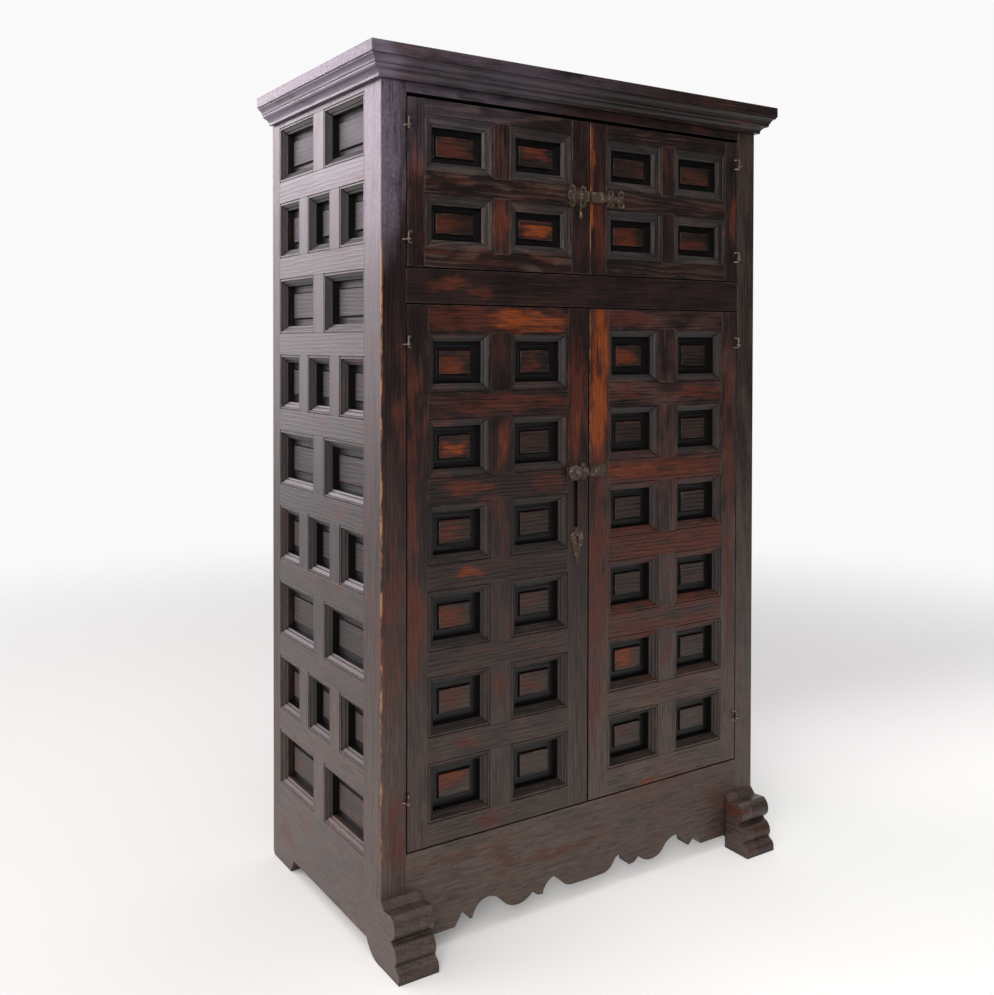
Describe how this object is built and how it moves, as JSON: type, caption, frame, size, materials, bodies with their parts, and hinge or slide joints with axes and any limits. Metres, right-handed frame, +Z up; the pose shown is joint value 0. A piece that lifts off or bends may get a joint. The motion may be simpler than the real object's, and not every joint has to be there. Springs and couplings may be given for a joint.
{
  "type": "coffered cabinet",
  "caption": "Tall dark wooden cabinet with small raised panels, a short pair of doors over a tall pair, shelves inside, sled feet and iron eye hinges and slide bolts.",
  "frame": {"origin": "on the floor, midway between the sides and midway between the toes of the feet and the back", "axes": "+Z up, doors face -Y, +X to the right of someone looking at the doors"},
  "size_m": [1.11, 0.646, 1.816],
  "materials": {
    "dark_wood": "near-black stained pine, worn to red-brown on its edges, satin wax",
    "panel_wood": "dark red-brown stained pine, open grain, worn in the middle of the fields",
    "inner_wood": "unpolished dark brown boards",
    "wrought_iron": "forged iron, dark and rusty with rubbed bright spots"
  },
  "bodies": {
    "carcass": {"left_front_post": "dark_wood", "left_rear_post": "dark_wood", "left_sled_board": "dark_wood", "left_foot_block": "dark_wood", "left_side_rails": "dark_wood", "left_side_muntins": "dark_wood", "left_side_panels": "panel_wood", "right_front_post": "dark_wood", "right_rear_post": "dark_wood", "right_sled_board": "dark_wood", "right_foot_block": "dark_wood", "right_side_rails": "dark_wood", "right_side_muntins": "dark_wood", "right_side_panels": "panel_wood", "frieze_rail": "dark_wood", "middle_rail": "dark_wood", "apron_board": "dark_wood", "top_board": "dark_wood", "cornice_mouldings": "dark_wood", "back_boards": "inner_wood", "back_rails": "inner_wood", "upper_deck": "inner_wood", "middle_shelf": "inner_wood", "lower_shelf": "inner_wood", "floor_board": "inner_wood", "shelf_cleats": "inner_wood", "door_stops": "inner_wood", "frame_hinge_eyes": "wrought_iron"},
    "upper_left_door": {"upper_left_door_stiles": "dark_wood", "upper_left_door_rails": "dark_wood", "upper_left_door_muntins": "dark_wood", "upper_left_door_panels": "panel_wood", "upper_left_door_hinge_eyes": "wrought_iron", "upper_bolt_plate": "wrought_iron"},
    "upper_right_door": {"upper_right_door_stiles": "dark_wood", "upper_right_door_rails": "dark_wood", "upper_right_door_muntins": "dark_wood", "upper_right_door_panels": "panel_wood", "upper_right_door_hinge_eyes": "wrought_iron", "upper_keeper": "wrought_iron"},
    "lower_left_door": {"lower_left_door_stiles": "dark_wood", "lower_left_door_rails": "dark_wood", "lower_left_door_muntins": "dark_wood", "lower_left_door_panels": "panel_wood", "lower_left_door_hinge_eyes": "wrought_iron", "lower_bolt_plate": "wrought_iron", "keyhole_plate": "wrought_iron", "lock_case": "wrought_iron"},
    "lower_right_door": {"lower_right_door_stiles": "dark_wood", "lower_right_door_rails": "dark_wood", "lower_right_door_muntins": "dark_wood", "lower_right_door_panels": "panel_wood", "lower_right_door_hinge_eyes": "wrought_iron", "lower_keeper": "wrought_iron"},
    "upper_bolt": {"upper_bolt": "wrought_iron"},
    "upper_bolt_pull": {"upper_bolt_pull": "wrought_iron"},
    "lower_bolt": {"lower_bolt": "wrought_iron"},
    "lock_bolt": {"lock_bolt": "wrought_iron"}
  },
  "joints": [
    {"name": "upper_left_door_hinge", "type": "hinge", "parent": "carcass", "child": "upper_left_door", "pos_m": [-0.4575, -0.254, 1.5], "axis": [0, 0, -1], "range_deg": [0, 110]},
    {"name": "upper_right_door_hinge", "type": "hinge", "parent": "carcass", "child": "upper_right_door", "pos_m": [0.4575, -0.254, 1.5], "axis": [0, 0, 1], "range_deg": [0, 110]},
    {"name": "lower_left_door_hinge", "type": "hinge", "parent": "carcass", "child": "lower_left_door", "pos_m": [-0.4575, -0.254, 0.75], "axis": [0, 0, -1], "range_deg": [0, 110]},
    {"name": "lower_right_door_hinge", "type": "hinge", "parent": "carcass", "child": "lower_right_door", "pos_m": [0.4575, -0.254, 0.75], "axis": [0, 0, 1], "range_deg": [0, 110]},
    {"name": "upper_bolt_slide", "type": "slide", "parent": "upper_left_door", "child": "upper_bolt", "axis": [1, 0, 0], "range_m": [0, 0.016]},
    {"name": "upper_bolt_pull_swing", "type": "hinge", "parent": "upper_bolt", "child": "upper_bolt_pull", "pos_m": [-0.0315, -0.2566, 1.553], "axis": [-1, 0, 0], "range_deg": [0, 70]},
    {"name": "lower_bolt_slide", "type": "slide", "parent": "lower_left_door", "child": "lower_bolt", "axis": [1, 0, 0], "range_m": [0, 0.015]},
    {"name": "lock_bolt_slide", "type": "slide", "parent": "lower_left_door", "child": "lock_bolt", "axis": [1, 0, 0], "range_m": [0, 0.012]}
  ]
}
